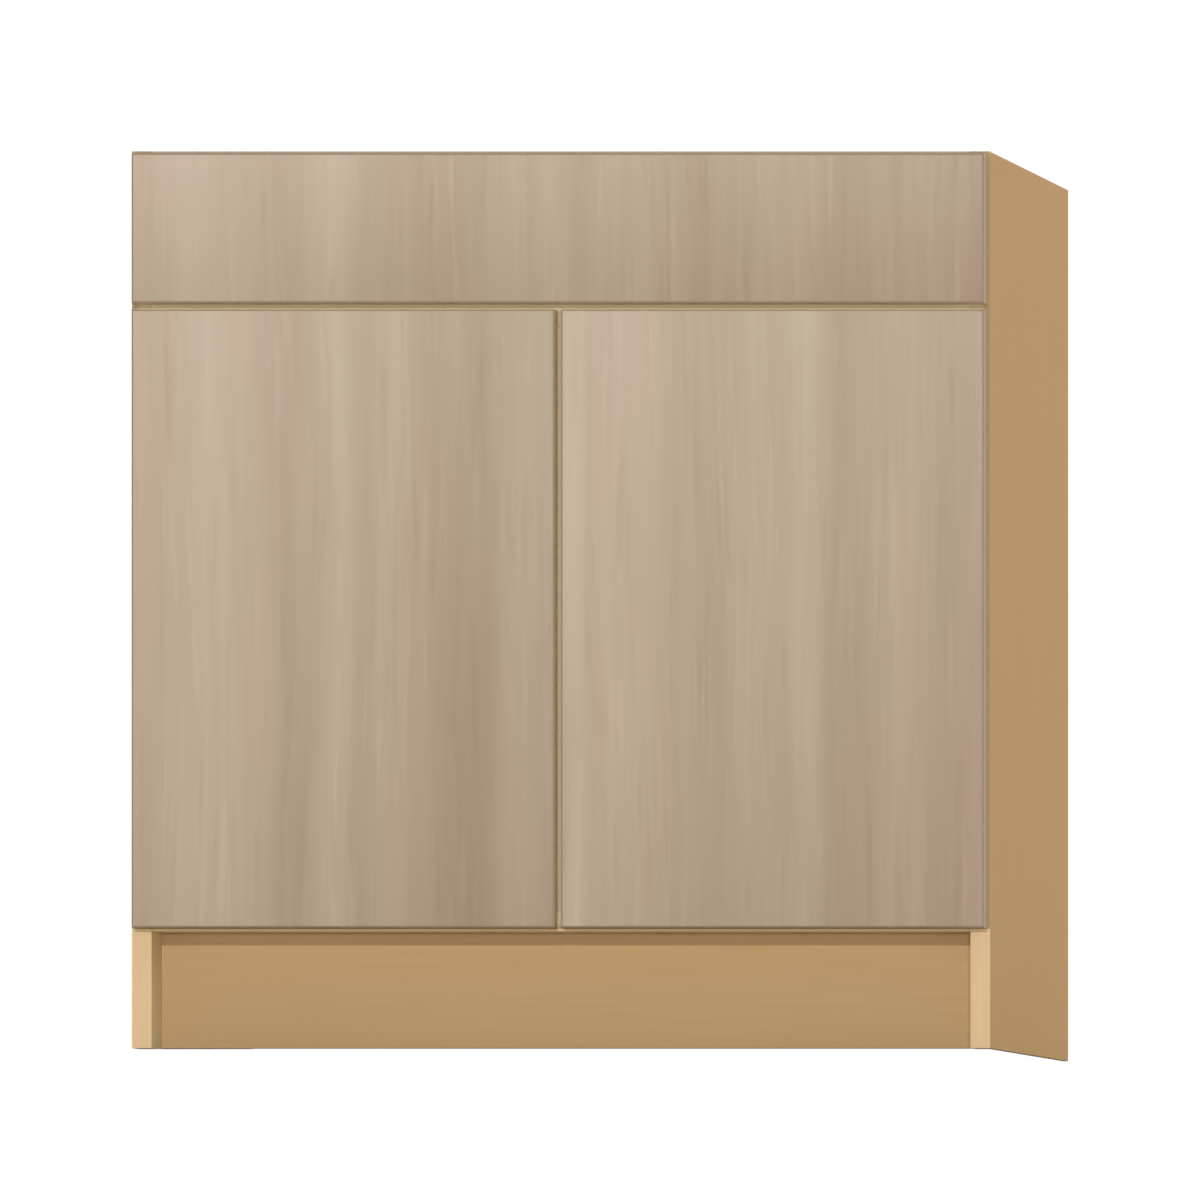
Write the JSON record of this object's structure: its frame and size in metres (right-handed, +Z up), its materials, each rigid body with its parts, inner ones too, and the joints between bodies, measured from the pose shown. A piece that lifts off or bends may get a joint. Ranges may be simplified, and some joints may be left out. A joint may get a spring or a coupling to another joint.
{
  "type": "sink base cabinet",
  "caption": "Frameless sink base cabinet: slab doors on concealed hinges under a fixed false front, side panels down to the floor and a recessed toe kick.",
  "frame": {"origin": "on the floor, in the middle of the width and of the depth including the doors", "axes": "+X to the right seen from the front, +Y from the doors to the wall, +Z up"},
  "size_m": [0.8382, 0.6096, 0.8763],
  "materials": {
    "front_laminate": "greige wood-grain laminate on board, vertical grain, satin",
    "front_edge_band": "matching edge band with an eased corner, satin",
    "case_board": "tan maple-toned laminated board, fine vertical grain, matte",
    "case_edge_band": "light maple edge band, satin",
    "plywood": "bare plywood",
    "nickel_plate": "nickel-plated pressed steel",
    "zinc_plate": "zinc-plated steel",
    "bumper": "clear soft bumper"
  },
  "bodies": {
    "case": {"side_panel_left": "case_board", "side_band_left": "case_edge_band", "corner_brace_front_left": "plywood", "corner_brace_back_left": "plywood", "hinge_plate_left_lower": "nickel_plate", "hinge_arm_left_lower": "nickel_plate", "plate_screw_left_lower_bottom": "zinc_plate", "plate_screw_left_lower_top": "zinc_plate", "hinge_plate_left_upper": "nickel_plate", "hinge_arm_left_upper": "nickel_plate", "plate_screw_left_upper_bottom": "zinc_plate", "plate_screw_left_upper_top": "zinc_plate", "side_panel_right": "case_board", "side_band_right": "case_edge_band", "corner_brace_front_right": "plywood", "corner_brace_back_right": "plywood", "hinge_plate_right_lower": "nickel_plate", "hinge_arm_right_lower": "nickel_plate", "plate_screw_right_lower_bottom": "zinc_plate", "plate_screw_right_lower_top": "zinc_plate", "hinge_plate_right_upper": "nickel_plate", "hinge_arm_right_upper": "nickel_plate", "plate_screw_right_upper_bottom": "zinc_plate", "plate_screw_right_upper_top": "zinc_plate", "bottom_panel": "case_board", "bottom_band": "case_edge_band", "back_panel": "case_board", "nailer_upper": "plywood", "nailer_lower": "plywood", "apron_rail": "case_board", "centre_stile": "case_board", "toe_kick_board": "case_board", "false_front": "front_laminate", "false_front_band": "front_edge_band", "false_front_screw_lower_left": "zinc_plate", "false_front_screw_lower_right": "zinc_plate", "false_front_screw_upper_left": "zinc_plate", "false_front_screw_upper_right": "zinc_plate"},
    "door_left_leaf": {"door_left": "front_laminate", "door_left_band": "front_edge_band", "hinge_cup_left_lower": "nickel_plate", "hinge_cup_left_upper": "nickel_plate", "bumper_left_lower": "bumper", "bumper_left_upper": "bumper"},
    "door_left_rear_links": {"hinge_rear_link_left_lower": "nickel_plate", "hinge_rear_link_left_upper": "nickel_plate"},
    "door_left_tip_links": {"hinge_tip_link_left_lower": "nickel_plate", "hinge_tip_link_left_upper": "nickel_plate"},
    "door_right_leaf": {"door_right": "front_laminate", "door_right_band": "front_edge_band", "hinge_cup_right_lower": "nickel_plate", "hinge_cup_right_upper": "nickel_plate", "bumper_right_lower": "bumper", "bumper_right_upper": "bumper"},
    "door_right_rear_links": {"hinge_rear_link_right_lower": "nickel_plate", "hinge_rear_link_right_upper": "nickel_plate"},
    "door_right_tip_links": {"hinge_tip_link_right_lower": "nickel_plate", "hinge_tip_link_right_upper": "nickel_plate"}
  },
  "joints": [
    {"name": "door_left_rear_link_pivot", "type": "hinge", "parent": "case", "child": "door_left_rear_links", "pos_m": [-0.37807, -0.27865, 0.4191], "axis": [0, 0, 1], "range_deg": [0, 41]},
    {"name": "door_left_hinge", "type": "hinge", "parent": "door_left_rear_links", "child": "door_left_leaf", "pos_m": [-0.40272, -0.28785, 0.4191], "axis": [0, 0, -1], "range_deg": [0, 136]},
    {"name": "door_left_tip_link_pivot", "type": "hinge", "parent": "case", "child": "door_left_tip_links", "pos_m": [-0.38122, -0.29215, 0.4191], "axis": [0, 0, 1], "range_deg": [0, 68.5]},
    {"name": "door_right_rear_link_pivot", "type": "hinge", "parent": "case", "child": "door_right_rear_links", "pos_m": [0.37807, -0.27865, 0.4191], "axis": [0, 0, -1], "range_deg": [0, 41]},
    {"name": "door_right_hinge", "type": "hinge", "parent": "door_right_rear_links", "child": "door_right_leaf", "pos_m": [0.40272, -0.28785, 0.4191], "axis": [0, 0, 1], "range_deg": [0, 136]},
    {"name": "door_right_tip_link_pivot", "type": "hinge", "parent": "case", "child": "door_right_tip_links", "pos_m": [0.38122, -0.29215, 0.4191], "axis": [0, 0, -1], "range_deg": [0, 68.5]}
  ],
  "couplings": [
    {"joint": "door_left_rear_link_pivot", "follows": "door_left_hinge", "ratio": 0.3},
    {"joint": "door_left_tip_link_pivot", "follows": "door_left_hinge", "ratio": 0.5},
    {"joint": "door_right_rear_link_pivot", "follows": "door_right_hinge", "ratio": 0.3},
    {"joint": "door_right_tip_link_pivot", "follows": "door_right_hinge", "ratio": 0.5}
  ]
}
